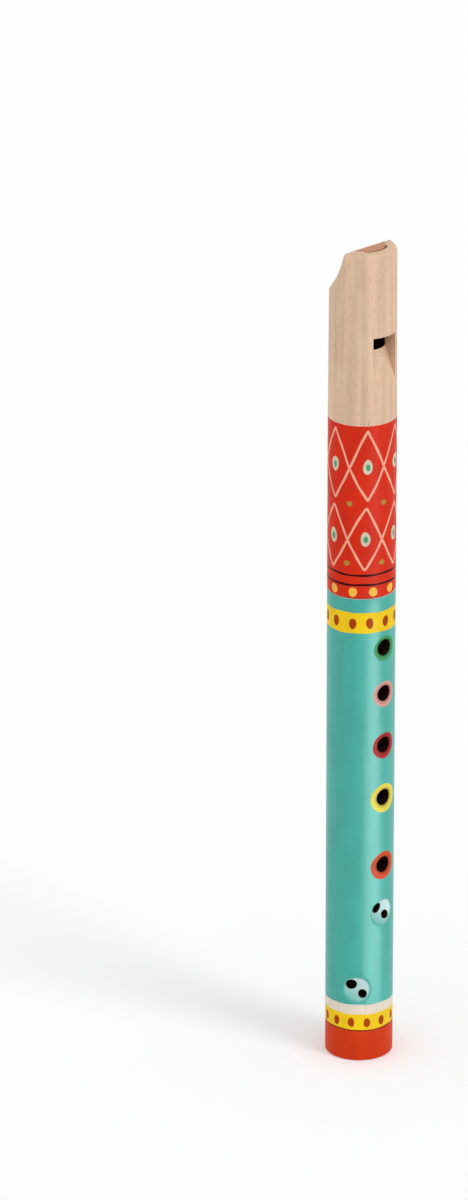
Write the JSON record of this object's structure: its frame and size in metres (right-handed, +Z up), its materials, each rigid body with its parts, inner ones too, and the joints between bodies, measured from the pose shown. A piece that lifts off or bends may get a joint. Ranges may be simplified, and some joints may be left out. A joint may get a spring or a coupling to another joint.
{
  "type": "soprano recorder",
  "caption": "Two-joint wooden soprano recorder with a beak, block and window, finger holes with twin low holes, and a corked tenon.",
  "frame": {"origin": "middle of the foot face, on the bore's axis", "axes": "+Z up along the bore from the foot to the beak's tip, -Y the front with the window and finger holes, +Y the back with the thumb hole, -X the player's right"},
  "size_m": [0.0254, 0.0254, 0.32],
  "materials": {
    "beech": "satin",
    "turquoise_paint": "satin painted wood",
    "cedar": "matte",
    "cork": "matte"
  },
  "bodies": {
    "body": {"body_joint": "turquoise_paint"},
    "cork": {"tenon_cork": "cork"},
    "head": {"head_joint": "beech", "block": "cedar"}
  },
  "joints": [
    {"name": "head_twist", "type": "hinge", "parent": "body", "child": "cork", "pos_m": [0, 0, 0.1975], "axis": [0, 0, 1], "continuous": true},
    {"name": "head_pull", "type": "slide", "parent": "cork", "child": "head", "axis": [0, 0, 1], "range_m": [0, 0.027]}
  ]
}
